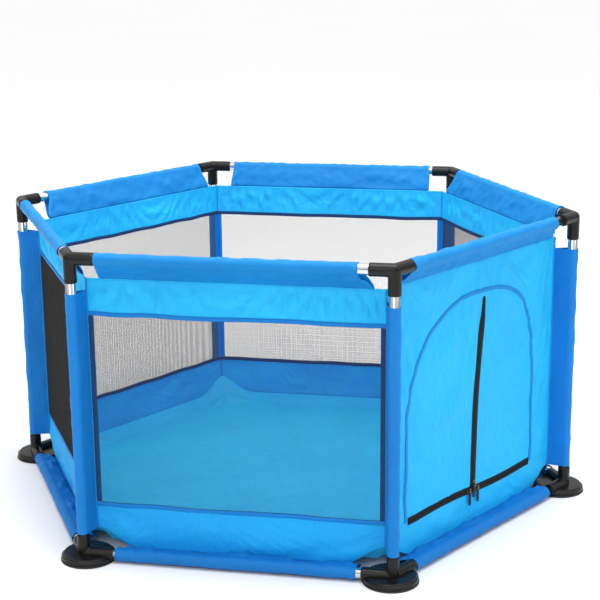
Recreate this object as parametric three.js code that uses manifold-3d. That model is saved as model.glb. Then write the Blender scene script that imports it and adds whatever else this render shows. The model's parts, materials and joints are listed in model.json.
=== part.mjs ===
// Hexagonal playpen: a push-together frame of steel tubes and black plastic corner fittings
// on suction-cup feet, carrying one sewn cover with mesh windows, a floor and an arched door
// that opens with an upright zip and a bottom zip.
//
// Millimetres, +Z up. The origin is the middle of the hexagon on the ground.
// A side group has +X along the side, -Y outwards. A corner group has +X outwards.

import * as THREE from "three";
import { mergeVertices } from "three/addons/utils/BufferGeometryUtils.js";
import Module from "manifold-3d";

const wasm = await Module();
wasm.setup();

// ---- Driving sizes -------------------------------------------------------------------------

const SIDES = 6;
const SIDE = 650; // post axis to post axis along one side
const HEIGHT = 660; // ground to the top of the corner fittings' sockets

const TUBE_R = 11;
const TUBE_WALL = 0.8;
const SOCKET_WALL = 2.2;
const ELBOW_EXTRA = 0.8; // the round body the sockets grow out of, over a socket's radius
const TOP_ARM = 50; // top fitting: axis crossing to socket mouth
const FOOT_ARM = 64; // foot fitting: the same, along the ground
const FOOT_UPRIGHT = 40; // foot fitting: the same, upwards
const SOCKET_STEP = 0.5; // bottom of a socket, past the side of the one that crosses it
const SOCKET_CLEARANCE = 0.3; // radial, tube in socket
const TUBE_END_GAP = 0.5; // tube end to socket bottom

const CUP_LIP = 1.5; // the cup stands out this far from under the plate
const CUP_H = 3;
const CUP_RIM = 8; // width of the flat ring that touches the ground
const CUP_HOLLOW = 1.5;
const CUP_PEG_R = 6;
const CUP_PEG_H = 4;
const PLATE_R = 56.5;
const PLATE_H = 12.2;
const PLATE_EDGE = 2.5; // bevel of the plate's top edge
const FOOT_SHIFT = 12; // the round base sits this far inboard of the post
const SEAT_CLEARANCE = 0.3;

const WALL_INSET = 35; // rail plane to fabric wall plane
const CLOTH = 2; // thickness of the wall panels
const SLEEVE_CLOTH = 1.2;
const SLEEVE_SLACK = 1; // sleeve to tube
const SEAM_R = 1.4; // the stitched edge where a sleeve meets the wall
const CORNER_SEAM_R = 2.4;
const SEAM_DROP = 46.5; // top rail axis down to the sleeve seam
const SEAM_CLEARANCE = 0.6; // bottom edge of the wall to the round base
const TOP_SLEEVE_GAP = 2; // mouth of a top fitting's socket to the end of the sleeve
const BOTTOM_SLEEVE_GAP = 8; // the same on the bottom rail
const POST_SLEEVE_TOP_DROP = 25; // top seam down to the post sleeve
const POST_SLEEVE_GAP = 5.5; // mouth of a foot's upright socket to the post sleeve
const TOP_BAND = 75;
const BOTTOM_BAND_TOP = 113; // ground to the lower edge of the mesh
const WINDOW_BORDER = 8;
const MESH_THICKNESS = 1;
const SEWN_GAP = 0.3; // two panels of one cover, edge to edge

const FLOOR_LIFT = 0.6;
const FLOOR_THICKNESS = 1.6;
const FLOOR_SLOPE = 24; // width of the slope from the ground up over the round bases

const DOOR_SIDE_MARGIN = 69.8; // corner seam to the door
const DOOR_TOP_MARGIN = 80; // top seam down to the top of the upright zip
const DOOR_SILL = 92; // ground to the bottom zip's centre line
const DOOR_LEAN = 30; // the upright zip's top is this far to the right of its foot
const ZIP_HALF = 6.5; // half of the zip's width
const ZIP_GAP = 0.4; // chain half to centre line
const FOLD_GAP = 4; // flap to the fixed cloth along its fold line

const SLIDER_LENGTH = 14;
const SLIDER_WIDTH = 9;
const SLIDER_THICKNESS = 2.8;
const SLIDER_STANDOFF = 0.5; // cloth to the slider's back
const SIDE_SLIDER_OUT = 15; // centre line to a bottom slider's middle
const PULL_WIDTH = 8;
const PULL_LENGTH = 32;
const PULL_THICKNESS = 1.4;
const PULL_GAP = 0.4; // slider face to a pull that lies on it
const BAIL_HALF = 5; // half length of the upright slider's bail
const BAIL_WIDTH = 3;
const BAIL_METAL = 1.6;
const BAR_ROOM = 1.2; // pull crossbar axis to whatever is next to it
const STUD_R = 1.2;
const STUD_HEAD_R = 2.4;
const STUD_HEAD_H = 0.8;
const EYE_CLEARANCE = 0.35;

const ROUND = 12; // sides of a small round
const WIDE_ROUND = 18; // sides of a foot

// ---- Places that follow from them ----------------------------------------------------------

const RADIUS = SIDE / (2 * Math.sin(Math.PI / SIDES));
const APOTHEM = RADIUS * Math.cos(Math.PI / SIDES);
const WALL_APOTHEM = APOTHEM - WALL_INSET;
const WALL_RADIUS = WALL_APOTHEM / Math.cos(Math.PI / SIDES);
const WALL_HALF = WALL_APOTHEM * Math.tan(Math.PI / SIDES);
const ARM_R = TUBE_R + SOCKET_CLEARANCE + SOCKET_WALL;
const ELBOW_R = ARM_R + ELBOW_EXTRA;
const SOCKET_FLOOR = ARM_R + SOCKET_STEP;
const CUP_R = PLATE_R + CUP_LIP;
const TOP_Z = HEIGHT - ARM_R;
const BASE_TOP = CUP_H + SEAT_CLEARANCE + PLATE_H;
const LOW_Z = CUP_H + ARM_R;
const BOTTOM_SEAM_Z = BASE_TOP + SEAM_CLEARANCE + SEAM_R;
const SEAM_Z = TOP_Z - SEAM_DROP;
const WINDOW_TOP = SEAM_Z - TOP_BAND;
const DOOR_HALF = WALL_HALF - DOOR_SIDE_MARGIN;
const DOOR_TOP = SEAM_Z - DOOR_TOP_MARGIN;
const DOOR_RISE = DOOR_TOP - DOOR_SILL;
const TOP_SLEEVE_SETBACK = TOP_ARM + TOP_SLEEVE_GAP;
const BOTTOM_SLEEVE_SETBACK = FOOT_ARM + BOTTOM_SLEEVE_GAP;
const POST_SLEEVE_LIFT = LOW_Z + FOOT_UPRIGHT + POST_SLEEVE_GAP;
const SLEEVE_R = TUBE_R + SLEEVE_SLACK + SLEEVE_CLOTH;
const CLOTH_FACE = -WALL_APOTHEM - CLOTH / 2; // outer face of the wall, in a side group
const TURN = (2 * Math.PI) / SIDES;

const CHROME = new THREE.MeshStandardMaterial({ color: 0xd6d8da, roughness: 0.15, metalness: 1 });
const PLASTIC = new THREE.MeshStandardMaterial({ color: 0x222321, roughness: 0.35, metalness: 0 });
const RUBBER = new THREE.MeshStandardMaterial({ color: 0x1b1b1b, roughness: 0.5, metalness: 0 });
const CANVAS = new THREE.MeshStandardMaterial({ color: 0x2ba6ee, roughness: 0.6, metalness: 0 });
const NET = new THREE.MeshStandardMaterial({ color: 0x2a2a2c, roughness: 0.8, metalness: 0 });
const ZIP_TAPE = new THREE.MeshStandardMaterial({ color: 0x181a1c, roughness: 0.7, metalness: 0 });
const ZIP_METAL = new THREE.MeshStandardMaterial({ color: 0x4a4a45, roughness: 0.3, metalness: 1 });

const SIDE_NAMES = ["front", "door", "back_right", "back", "back_left", "front_left"];
const CORNER_NAMES = ["front_right", "right", "back_right", "back_left", "left", "front_left"];
const DOOR_SIDE = 1;

// ---- Solids --------------------------------------------------------------------------------

// A closed three.js geometry as a manifold-3d solid.
function solidOf(geometry) {
  const bare = geometry.clone();
  bare.deleteAttribute("normal");
  bare.deleteAttribute("uv");
  const merged = mergeVertices(bare, 1e-4);
  return new wasm.Manifold(
    new wasm.Mesh({
      numProp: 3,
      vertProperties: merged.attributes.position.array,
      triVerts: new Uint32Array(merged.index.array),
    }),
  );
}

// And back again.
function geometryOf(solid) {
  const mesh = solid.getMesh();
  const geometry = new THREE.BufferGeometry();
  geometry.setAttribute("position", new THREE.BufferAttribute(mesh.vertProperties, 3));
  geometry.setIndex(new THREE.BufferAttribute(mesh.triVerts, 1));
  geometry.computeVertexNormals();
  return geometry;
}

function joined(geometries) {
  return geometries.map(solidOf).reduce((whole, next) => whole.add(next));
}

// A round bar from one distance to another along a direction, out of a point.
function bar(from, direction, start, end, radius, sides = ROUND) {
  const geometry = new THREE.CylinderGeometry(radius, radius, end - start, sides);
  const along = direction.clone().normalize();
  const turn = new THREE.Quaternion().setFromUnitVectors(new THREE.Vector3(0, 1, 0), along);
  geometry.applyQuaternion(turn);
  const middle = from.clone().addScaledVector(along, (start + end) / 2);
  return geometry.translate(middle.x, middle.y, middle.z);
}

function ball(at, radius) {
  const geometry = new THREE.SphereGeometry(radius, ROUND, ROUND / 2).rotateX(Math.PI / 2);
  return geometry.translate(at.x, at.y, at.z);
}

function box(x0, x1, y0, y1, z0, z1) {
  const geometry = new THREE.BoxGeometry(x1 - x0, y1 - y0, z1 - z0);
  return geometry.translate((x0 + x1) / 2, (y0 + y1) / 2, (z0 + z1) / 2);
}

// A flat outline drawn in side coordinates (along, up), given a thickness from y0 to y1.
function panel(outline, y0, y1) {
  const geometry = new THREE.ExtrudeGeometry(outline, {
    depth: y1 - y0,
    bevelEnabled: false,
    curveSegments: ROUND / 2,
  });
  return geometry.rotateX(Math.PI / 2).translate(0, y1, 0);
}

function outlineOf(points) {
  return new THREE.Shape(points.map(([x, y]) => new THREE.Vector2(x, y)));
}

function rectangle(x0, x1, y0, y1) {
  return outlineOf([[x0, y0], [x1, y0], [x1, y1], [x0, y1]]);
}

// Lathe outline of (radius, height) pairs, from the axis back to the axis, turned about Z.
function turned(profile, sides) {
  const points = profile.map(([r, z]) => new THREE.Vector2(r, z));
  return new THREE.LatheGeometry(points, sides).rotateX(Math.PI / 2);
}

// ---- Frame ---------------------------------------------------------------------------------

// A hollow tube lying along X, centred on the origin.
function tube(length) {
  const profile = [
    [TUBE_R - TUBE_WALL, -length / 2],
    [TUBE_R, -length / 2],
    [TUBE_R, length / 2],
    [TUBE_R - TUBE_WALL, length / 2],
    [TUBE_R - TUBE_WALL, -length / 2],
  ];
  return turned(profile, ROUND).rotateY(Math.PI / 2);
}

// Directions of a fitting's two level arms, towards the next corners.
const LEVEL_ARMS = [1, -1].map((way) => {
  const angle = way * (Math.PI / 2 + Math.PI / SIDES);
  return new THREE.Vector3(Math.cos(angle), Math.sin(angle), 0);
});

// Three sockets that meet in a round elbow: the two level arms and an upright one.
function threeWay(centre, level, upright, uprightLength) {
  const arms = [...LEVEL_ARMS.map((way) => [way, level]), [upright, uprightLength]];
  const sockets = arms.map(([way, reach]) => bar(centre, way, 0, reach, ARM_R));
  const outside = [ball(centre, ELBOW_R), ...sockets];
  const bore = TUBE_R + SOCKET_CLEARANCE;
  const bores = arms.map(([way, reach]) => bar(centre, way, SOCKET_FLOOR, reach + 1, bore));
  return { outside, bores: joined(bores) };
}

function topFitting() {
  const centre = new THREE.Vector3(RADIUS, 0, TOP_Z);
  const { outside, bores } = threeWay(centre, TOP_ARM, new THREE.Vector3(0, 0, -1), TOP_ARM);
  return geometryOf(joined(outside).subtract(bores));
}

function footFitting() {
  const bottom = CUP_H + SEAT_CLEARANCE;
  const plate = turned(
    [
      [0, 0],
      [PLATE_R, 0],
      [PLATE_R, BASE_TOP - PLATE_EDGE],
      [PLATE_R - PLATE_EDGE, BASE_TOP],
      [0, BASE_TOP],
    ],
    WIDE_ROUND,
  ).translate(RADIUS - FOOT_SHIFT, 0, 0);
  const centre = new THREE.Vector3(RADIUS, 0, LOW_Z);
  const { outside, bores } = threeWay(centre, FOOT_ARM, new THREE.Vector3(0, 0, 1), FOOT_UPRIGHT);
  const below = box(0, 2 * RADIUS, -RADIUS, RADIUS, -HEIGHT, bottom);
  const base = new THREE.Vector3(RADIUS - FOOT_SHIFT, 0, bottom);
  const recess = bar(base, new THREE.Vector3(0, 0, 1), -1, CUP_PEG_H, CUP_PEG_R + SEAT_CLEARANCE);
  return geometryOf(joined([plate, ...outside]).subtract(bores).subtract(joined([below, recess])));
}

// Rubber cup with a flat rim, a shallow hollow below and a peg that plugs into the fitting.
function suctionCup() {
  return turned(
    [
      [0, CUP_HOLLOW],
      [CUP_R - CUP_RIM, 0],
      [CUP_R, 0],
      [CUP_R, CUP_H],
      [CUP_PEG_R, CUP_H],
      [CUP_PEG_R, CUP_H + CUP_PEG_H],
      [0, CUP_H + CUP_PEG_H],
    ],
    WIDE_ROUND,
  ).translate(RADIUS - FOOT_SHIFT, 0, 0);
}

// ---- Cover ---------------------------------------------------------------------------------

// Points of a cloth loop: round the tube at the origin, drawn in to a seam at `reach` on +X.
function loopPoints(reach, tubeRadius, seamRadius) {
  const lean = Math.acos((tubeRadius - seamRadius) / reach);
  const points = [];
  for (let i = 0; i <= ROUND; i += 1) {
    const angle = lean + (2 * (Math.PI - lean) * i) / ROUND;
    points.push([tubeRadius * Math.cos(angle), tubeRadius * Math.sin(angle)]);
  }
  for (const angle of [-lean, 0, lean]) {
    points.push([reach + seamRadius * Math.cos(angle), seamRadius * Math.sin(angle)]);
  }
  return points;
}

// The loop as a solid of a given length along +Z.
function sleeve(reach, length) {
  const outline = outlineOf(loopPoints(reach, SLEEVE_R, SEAM_R));
  outline.holes.push(outlineOf(loopPoints(reach - 2 * SEAM_R, SLEEVE_R - SLEEVE_CLOTH, SEAM_R / 4)));
  return new THREE.ExtrudeGeometry(outline, { depth: length, bevelEnabled: false });
}

// A sleeve along X round a rail at (rail apothem, railZ), stitched to the wall at seamZ.
function railSleeve(railZ, seamZ, setback) {
  const half = SIDE / 2 - setback;
  const inward = APOTHEM - WALL_APOTHEM;
  const lean = Math.atan2(seamZ - railZ, inward);
  const geometry = sleeve(Math.hypot(inward, seamZ - railZ), 2 * half);
  geometry.rotateZ(lean).translate(0, 0, -half); // reach now lies in (inward, up)
  geometry.applyMatrix4(new THREE.Matrix4().set(0, 0, 1, 0, 1, 0, 0, 0, 0, 1, 0, 0, 0, 0, 0, 1));
  return geometry.translate(0, -APOTHEM, railZ);
}

// The post sleeve and the corner seam it is stitched to, at the right-hand end of a side.
function postSleeve() {
  const bottom = POST_SLEEVE_LIFT;
  const top = SEAM_Z - POST_SLEEVE_TOP_DROP;
  const loop = sleeve(RADIUS - WALL_RADIUS, top - bottom).rotateZ(Math.PI).translate(RADIUS, 0, bottom);
  const seam = bar(
    new THREE.Vector3(WALL_RADIUS, 0, 0),
    new THREE.Vector3(0, 0, 1),
    BOTTOM_SEAM_Z,
    SEAM_Z,
    CORNER_SEAM_R,
  );
  // from the corner's frame to the frame of the side that ends there
  return [loop, seam].map((geometry) => geometry.rotateZ(-Math.PI / 2 + Math.PI / SIDES));
}

function windowOutline(inset) {
  const half = WALL_HALF - WINDOW_BORDER - inset;
  return rectangle(-half, half, BOTTOM_BAND_TOP + inset, WINDOW_TOP - inset);
}

// The fold line of the right-hand flap runs from the end of the bottom zip to the zip's top.
// Distance `off` moves it towards the middle of the door.
const FOLD_LENGTH = Math.hypot(DOOR_HALF, DOOR_RISE);

// The whole door leans with its upright zip.
function leaned([x, z]) {
  return [x + (z - DOOR_SILL) * (DOOR_LEAN / DOOR_RISE), z];
}

function foldAtHeight(z, off) {
  return (DOOR_TOP - z) * (DOOR_HALF / DOOR_RISE) - off * (FOLD_LENGTH / DOOR_RISE);
}

function foldAtPlace(x, off) {
  return DOOR_TOP - x * (DOOR_RISE / DOOR_HALF) - off * (FOLD_LENGTH / DOOR_HALF);
}

// The hole in the door side: the triangle that the flaps fill, and the lower zip tape under it.
function doorOutline() {
  const low = DOOR_SILL - ZIP_HALF - SEWN_GAP;
  const top = leaned([0, DOOR_TOP]);
  return outlineOf([
    [-DOOR_HALF, low],
    [DOOR_HALF, low],
    [DOOR_HALF, DOOR_SILL],
    top,
    [-DOOR_HALF, DOOR_SILL],
  ]);
}

// Wall panel with its opening, a sleeve along each rail and a post sleeve at its right end.
function sideCover(isDoor) {
  const left = -WALL_HALF + CORNER_SEAM_R + 0.5;
  const wall = rectangle(left, WALL_HALF, BOTTOM_SEAM_Z, SEAM_Z);
  wall.holes.push(isDoor ? doorOutline() : windowOutline(0));
  const pieces = [
    panel(wall, -WALL_APOTHEM - CLOTH / 2, -WALL_APOTHEM + CLOTH / 2),
    railSleeve(TOP_Z, SEAM_Z, TOP_SLEEVE_SETBACK),
    railSleeve(LOW_Z, BOTTOM_SEAM_Z, BOTTOM_SLEEVE_SETBACK),
    ...postSleeve(),
  ];
  return geometryOf(joined(pieces));
}

function meshWindow() {
  const half = MESH_THICKNESS / 2;
  return panel(windowOutline(SEWN_GAP), -WALL_APOTHEM - half, -WALL_APOTHEM + half);
}

// Hexagonal tray that lies on the ground and rises over the round bases at its rim.
function floorPanel() {
  const rim = WALL_RADIUS - CORNER_SEAM_R - SEWN_GAP;
  const shoulder = RADIUS - FOOT_SHIFT - CUP_R - FLOOR_THICKNESS;
  const lifted = BASE_TOP + SEAM_CLEARANCE;
  return turned(
    [
      [0, FLOOR_LIFT],
      [shoulder - FLOOR_SLOPE, FLOOR_LIFT],
      [shoulder, lifted],
      [rim, lifted],
      [rim, lifted + FLOOR_THICKNESS],
      [shoulder - FLOOR_THICKNESS, lifted + FLOOR_THICKNESS],
      [shoulder - FLOOR_SLOPE - FLOOR_THICKNESS, FLOOR_LIFT + FLOOR_THICKNESS],
      [0, FLOOR_LIFT + FLOOR_THICKNESS],
    ],
    SIDES,
  ).rotateZ(Math.PI / 2);
}

// ---- Door ----------------------------------------------------------------------------------

// A side-view outline of the right half of the door, mirrored for the left half.
function doorPanel(points, way) {
  const placed = points.map(([x, z]) => leaned([way * x, z]));
  return panel(outlineOf(way > 0 ? placed : placed.reverse()), CLOTH_FACE, CLOTH_FACE + CLOTH);
}

function doorFlap(way) {
  const x = ZIP_HALF + SEWN_GAP;
  const z = DOOR_SILL + ZIP_HALF + SEWN_GAP;
  return doorPanel([[x, z], [foldAtHeight(z, FOLD_GAP), z], [x, foldAtPlace(x, FOLD_GAP)]], way);
}

// Half of the upright zip and half of the bottom zip's upper tape, as one L round a flap.
function flapZip(way) {
  const [x0, x1] = [ZIP_GAP, ZIP_HALF];
  const [z0, z1] = [DOOR_SILL + ZIP_GAP, DOOR_SILL + ZIP_HALF];
  return doorPanel(
    [
      [x0, z0],
      [foldAtHeight(z0, FOLD_GAP), z0],
      [foldAtHeight(z1, FOLD_GAP), z1],
      [x1, z1],
      [x1, foldAtPlace(x1, FOLD_GAP)],
      [x0, foldAtPlace(x0, FOLD_GAP)],
    ],
    way,
  );
}

function sillZip() {
  const half = DOOR_HALF - SEWN_GAP;
  return panel(
    rectangle(-half, half, DOOR_SILL - ZIP_HALF, DOOR_SILL - ZIP_GAP),
    CLOTH_FACE,
    CLOTH_FACE + CLOTH,
  );
}

const SLIDER_BACK = CLOTH_FACE - SLIDER_STANDOFF;
const SLIDER_FACE = SLIDER_BACK - SLIDER_THICKNESS;
const UPRIGHT_Z = DOOR_SILL + ZIP_HALF + SLIDER_LENGTH / 2 + 1; // middle of the upright slider

// Puts a piece drawn round the origin at the upright slider's place, turned along the zip.
function onUprightZip(geometry) {
  const [x, z] = leaned([0, UPRIGHT_Z]);
  return geometry.rotateY(Math.atan2(DOOR_LEAN, DOOR_RISE)).translate(x, 0, z);
}

// Slider body seen from the front: a shield that narrows upwards.
function shield(length, width) {
  const [half, tail, tip] = [length / 2, width / 2, width * 0.32];
  return outlineOf([[-tail, -half], [tail, -half], [tail, 0], [tip, half], [-tip, half], [-tail, 0]]);
}

// The upright slider: its bail is a bridge along the zip that the pull's crossbar hangs in.
function uprightSlider() {
  const body = panel(shield(SLIDER_LENGTH, SLIDER_WIDTH), SLIDER_FACE, SLIDER_BACK);
  const half = BAIL_WIDTH / 2;
  const outer = SLIDER_FACE - 2 * BAR_ROOM;
  const bridge = box(-half, half, outer - BAIL_METAL, SLIDER_FACE + 0.5, -BAIL_HALF, BAIL_HALF);
  const room = BAIL_HALF - BAIL_METAL;
  const gap = box(-half - 1, half + 1, outer, SLIDER_FACE, -room, room);
  return onUprightZip(geometryOf(joined([body, bridge]).subtract(solidOf(gap))));
}

const UPRIGHT_PULL_Y = SLIDER_FACE - BAR_ROOM; // crossbar axis of the upright slider's pull

// A flat tab with a window for the bail at the top and a small hole near the tip.
function uprightPull() {
  const half = PULL_WIDTH / 2;
  const thin = PULL_THICKNESS / 2;
  const reach = Math.hypot(BAIL_HALF, BAR_ROOM + BAIL_METAL) + 1; // clears the bail all the way round
  const outline = tabOutline(half, thin, PULL_LENGTH);
  const slot = BAIL_WIDTH / 2 + 0.8;
  outline.holes.push(new THREE.Path(rectangle(-slot, slot, -reach, -thin).getPoints()));
  outline.holes.push(new THREE.Path().absarc(0, half - PULL_LENGTH, half / 2.5, 0, 2 * Math.PI, true));
  return onUprightZip(panel(outline, UPRIGHT_PULL_Y - thin, UPRIGHT_PULL_Y + thin));
}

// Tab outline from `top` above the origin down to a round end `length` below it.
function tabOutline(half, top, length) {
  const outline = new THREE.Shape();
  outline.moveTo(half, top).lineTo(-half, top).lineTo(-half, half - length);
  outline.absarc(0, half - length, half, Math.PI, 2 * Math.PI, false);
  outline.closePath();
  return outline;
}

const SIDE_PULL_BACK = SLIDER_FACE - PULL_GAP;
const SIDE_PULL_FACE = SIDE_PULL_BACK - PULL_THICKNESS;
const SIDE_SLIDER_Z = DOOR_SILL;

// A bottom slider: the same shield on its side, with a headed stud for its pull.
function sideSlider(way) {
  const body = panel(shield(SLIDER_LENGTH, SLIDER_WIDTH), SLIDER_FACE, SLIDER_BACK);
  body.rotateY(way * (Math.PI / 2)); // nose outwards, the way it slides
  const back = new THREE.Vector3(0, SLIDER_FACE + 0.5, 0);
  const outwards = new THREE.Vector3(0, -1, 0);
  const stem = PULL_THICKNESS + 2 * PULL_GAP + 0.5;
  const stud = bar(back, outwards, 0, stem + STUD_HEAD_H / 2, STUD_R);
  const head = bar(back, outwards, stem, stem + STUD_HEAD_H, STUD_HEAD_R);
  return geometryOf(joined([body, stud, head])).translate(way * SIDE_SLIDER_OUT, 0, SIDE_SLIDER_Z);
}

function sidePull(way) {
  const half = PULL_WIDTH / 2;
  const outline = tabOutline(half, half * 0.75, PULL_LENGTH);
  outline.holes.push(new THREE.Path().absarc(0, 0, STUD_R + EYE_CLEARANCE, 0, 2 * Math.PI, true));
  outline.holes.push(new THREE.Path().absarc(0, half - PULL_LENGTH, half / 2.5, 0, 2 * Math.PI, true));
  return panel(outline, SIDE_PULL_FACE, SIDE_PULL_BACK).translate(way * SIDE_SLIDER_OUT, 0, SIDE_SLIDER_Z);
}

// ---- Assembly ------------------------------------------------------------------------------

const playpen = new THREE.Group();

function put(group, name, geometry, material) {
  const mesh = new THREE.Mesh(geometry, material);
  mesh.name = name;
  group.add(mesh);
  return mesh;
}

const socketEnd = SOCKET_FLOOR + TUBE_END_GAP;
const railLength = SIDE - 2 * socketEnd;
const postLength = TOP_Z - LOW_Z - 2 * socketEnd;

CORNER_NAMES.forEach((corner, k) => {
  const group = new THREE.Group();
  group.rotation.z = (k - 1) * TURN;
  playpen.add(group);
  put(group, `top_fitting_${corner}`, topFitting(), PLASTIC);
  put(group, `foot_fitting_${corner}`, footFitting(), PLASTIC);
  put(group, `suction_cup_${corner}`, suctionCup(), RUBBER);
  const post = put(group, `post_${corner}`, tube(postLength), CHROME);
  post.rotation.y = Math.PI / 2;
  post.position.set(RADIUS, 0, (TOP_Z + LOW_Z) / 2);
});

SIDE_NAMES.forEach((side, k) => {
  const group = new THREE.Group();
  group.rotation.z = k * TURN;
  playpen.add(group);
  put(group, `top_rail_${side}`, tube(railLength), CHROME).position.set(0, -APOTHEM, TOP_Z);
  put(group, `bottom_rail_${side}`, tube(railLength), CHROME).position.set(0, -APOTHEM, LOW_Z);
  put(group, `side_cover_${side}`, sideCover(k === DOOR_SIDE), CANVAS);
  if (k !== DOOR_SIDE) {
    put(group, `mesh_window_${side}`, meshWindow(), NET);
    return;
  }
  [["left", -1], ["right", 1]].forEach(([hand, way]) => {
    put(group, `door_flap_${hand}`, doorFlap(way), CANVAS);
    put(group, `flap_zip_${hand}`, flapZip(way), ZIP_TAPE);
    put(group, `${hand}_zip_slider`, sideSlider(way), ZIP_METAL);
    put(group, `${hand}_zip_pull`, sidePull(way), ZIP_METAL);
  });
  put(group, "sill_zip_tape", sillZip(), ZIP_TAPE);
  put(group, "upright_zip_slider", uprightSlider(), ZIP_METAL);
  put(group, "upright_zip_pull", uprightPull(), ZIP_METAL);
});

put(playpen, "floor_panel", floorPanel(), CANVAS);

export default playpen;
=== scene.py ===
"""Hexagonal playpen: chrome tube frame, black corner fittings on suction-cup feet, and one sewn
blue cover with net windows, a floor and a zipped arched door.

Metres, +Z up. Side k faces outwards at -90 + 60 k degrees; corner k stands at -60 + 60 k degrees.
"""

import json
import math
import bpy
import numpy as np
from bpy.props import FloatProperty, FloatVectorProperty, IntProperty, PointerProperty
from mathutils import Matrix, Vector


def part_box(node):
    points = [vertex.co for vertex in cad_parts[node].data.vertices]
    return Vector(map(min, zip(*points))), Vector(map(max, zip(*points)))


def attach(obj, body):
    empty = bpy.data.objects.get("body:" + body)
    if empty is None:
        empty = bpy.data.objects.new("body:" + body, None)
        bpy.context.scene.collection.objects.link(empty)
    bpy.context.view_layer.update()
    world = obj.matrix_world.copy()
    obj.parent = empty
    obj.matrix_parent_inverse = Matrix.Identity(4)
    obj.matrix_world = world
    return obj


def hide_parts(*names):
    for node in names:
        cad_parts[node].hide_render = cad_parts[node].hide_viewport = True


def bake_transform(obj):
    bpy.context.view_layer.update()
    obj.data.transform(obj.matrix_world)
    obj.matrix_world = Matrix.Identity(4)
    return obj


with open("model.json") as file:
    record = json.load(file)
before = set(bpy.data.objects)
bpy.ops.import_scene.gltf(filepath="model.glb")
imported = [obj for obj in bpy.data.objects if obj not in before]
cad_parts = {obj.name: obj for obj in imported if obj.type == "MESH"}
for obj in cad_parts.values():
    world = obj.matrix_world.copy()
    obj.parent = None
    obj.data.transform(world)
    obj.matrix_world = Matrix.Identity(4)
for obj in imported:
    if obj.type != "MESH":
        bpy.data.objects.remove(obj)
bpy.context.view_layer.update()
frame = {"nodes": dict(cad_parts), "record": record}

bl_info = {
    "name": "Fabric Playpen",
    "version": (1, 0, 0),
    "blender": (4, 5, 0),
    "location": "3D View > Sidebar > Playpen",
    "description": "Builds a hexagonal fabric playpen on its packed frame",
    "category": "Object",
}

# ---- Sizes taken from the frame ---------------------------------------------------------------

ROOT = "frame_and_cover"
SIDES = ["front", "door", "back_right", "back", "back_left", "front_left"]
CORNERS = ["front_right", "right", "back_right", "back_left", "left", "front_left"]
DOOR = 1


def middle(node):
    low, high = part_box(node)
    return [(a + b) / 2 for a, b in zip(low, high)]


def extent(node, axis):
    low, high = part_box(node)
    return high[axis] - low[axis]


APOTHEM = -middle("top_rail_front")[1]
TOP_Z = middle("top_rail_front")[2]
LOW_Z = middle("bottom_rail_front")[2]
TUBE_R = extent("top_rail_front", 2) / 2
RADIUS = APOTHEM / math.cos(math.pi / 6)
HALF_SIDE = RADIUS / 2
RAIL_HALF = extent("top_rail_front", 0) / 2
WALL = -middle("mesh_window_front")[1]
WALL_HALF = WALL * math.tan(math.pi / 6)
WALL_CORNER = WALL / math.cos(math.pi / 6)
WINDOW_LOW, WINDOW_HIGH = (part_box("mesh_window_front")[i][2] for i in (0, 1))
WINDOW_HALF = extent("mesh_window_front", 0) / 2
FLOOR_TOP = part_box("floor_panel")[1][2]
SEAM_Z = TOP_Z - 0.0465  # where the top rail sleeve is sewn to the wall
LOW_SEAM_Z = FLOOR_TOP + 0.0005  # where the bottom rail sleeve is
CUP_TOP = 0.003
BASE_TOP = FLOOR_TOP - 0.0022
SLEEVE_R = TUBE_R + 0.0012  # a sleeve's cloth round its tube
POST_SLEEVE_TOP = SEAM_Z - 0.025
POST_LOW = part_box("post_right")[0][2]
POST_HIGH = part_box("post_right")[1][2]
ARM_R = 0.0135  # outside of a fitting's socket
BASE_IN = 0.012  # how far inboard of its post a base stands

JOINTS = {j["name"]: j for j in frame["record"]["behaviour"]["joints"]}
SILL_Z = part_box("sill_zip_tape")[1][2] + 0.0004
CORNER_LOW = 0.060  # lower end of the corner seams and of the cloth over the feet


def side_axes(k):
    """Along and outward directions of side k."""
    angle = math.radians(-90 + 60 * k)
    return np.array([-math.sin(angle), math.cos(angle)]), np.array([math.cos(angle), math.sin(angle)])


def way_out(k):
    """The outward direction of side k in space."""
    _, n = side_axes(k)
    return np.array([n[0], n[1], 0.0])


def on_side(k, along, out, up):
    """Points on side k from arrays of along, outward distance from the centre, and height."""
    a, n = side_axes(k)
    along, out, up = np.broadcast_arrays(along, out, up)
    return np.stack([a[0] * along + n[0] * out, a[1] * along + n[1] * out, up], axis=-1)


def at_corner(k, out, across, up):
    """Points at corner k: out is the distance from the centre, across is anticlockwise."""
    angle = math.radians(-60 + 60 * k)
    out, across, up = np.broadcast_arrays(out, across, up)
    x = out * math.cos(angle) - across * math.sin(angle)
    y = out * math.sin(angle) + across * math.cos(angle)
    return np.stack([x, y, up], axis=-1)


def door_place(name):
    """(along, up) of a door joint's point and the slope along / up of its axis."""
    a, _ = side_axes(DOOR)
    joint = JOINTS[name]
    x, y, z = joint["pos_m"]
    dx, dy, dz = joint["axis"]
    return x * a[0] + y * a[1], z, (dx * a[0] + dy * a[1]) / dz


ZIP_TOP_U, ZIP_TOP_Z, LEFT_SLOPE = door_place("left_flap_fold")
RIGHT_SLOPE = door_place("right_flap_fold")[2]
DOOR_LEFT = ZIP_TOP_U - (ZIP_TOP_Z - SILL_Z) * LEFT_SLOPE
DOOR_RIGHT = ZIP_TOP_U - (ZIP_TOP_Z - SILL_Z) * RIGHT_SLOPE
ZIP_LEAN = (ZIP_TOP_U - 0.0) / (ZIP_TOP_Z - SILL_Z)
ARCH_R = (DOOR_RIGHT - DOOR_LEFT) / 2 - 0.002
ARCH_U = (DOOR_RIGHT + DOOR_LEFT) / 2 - 0.006
ARCH_SPRING = ZIP_TOP_Z + 0.014 - ARCH_R


# ---- Settings ---------------------------------------------------------------------------------


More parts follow.
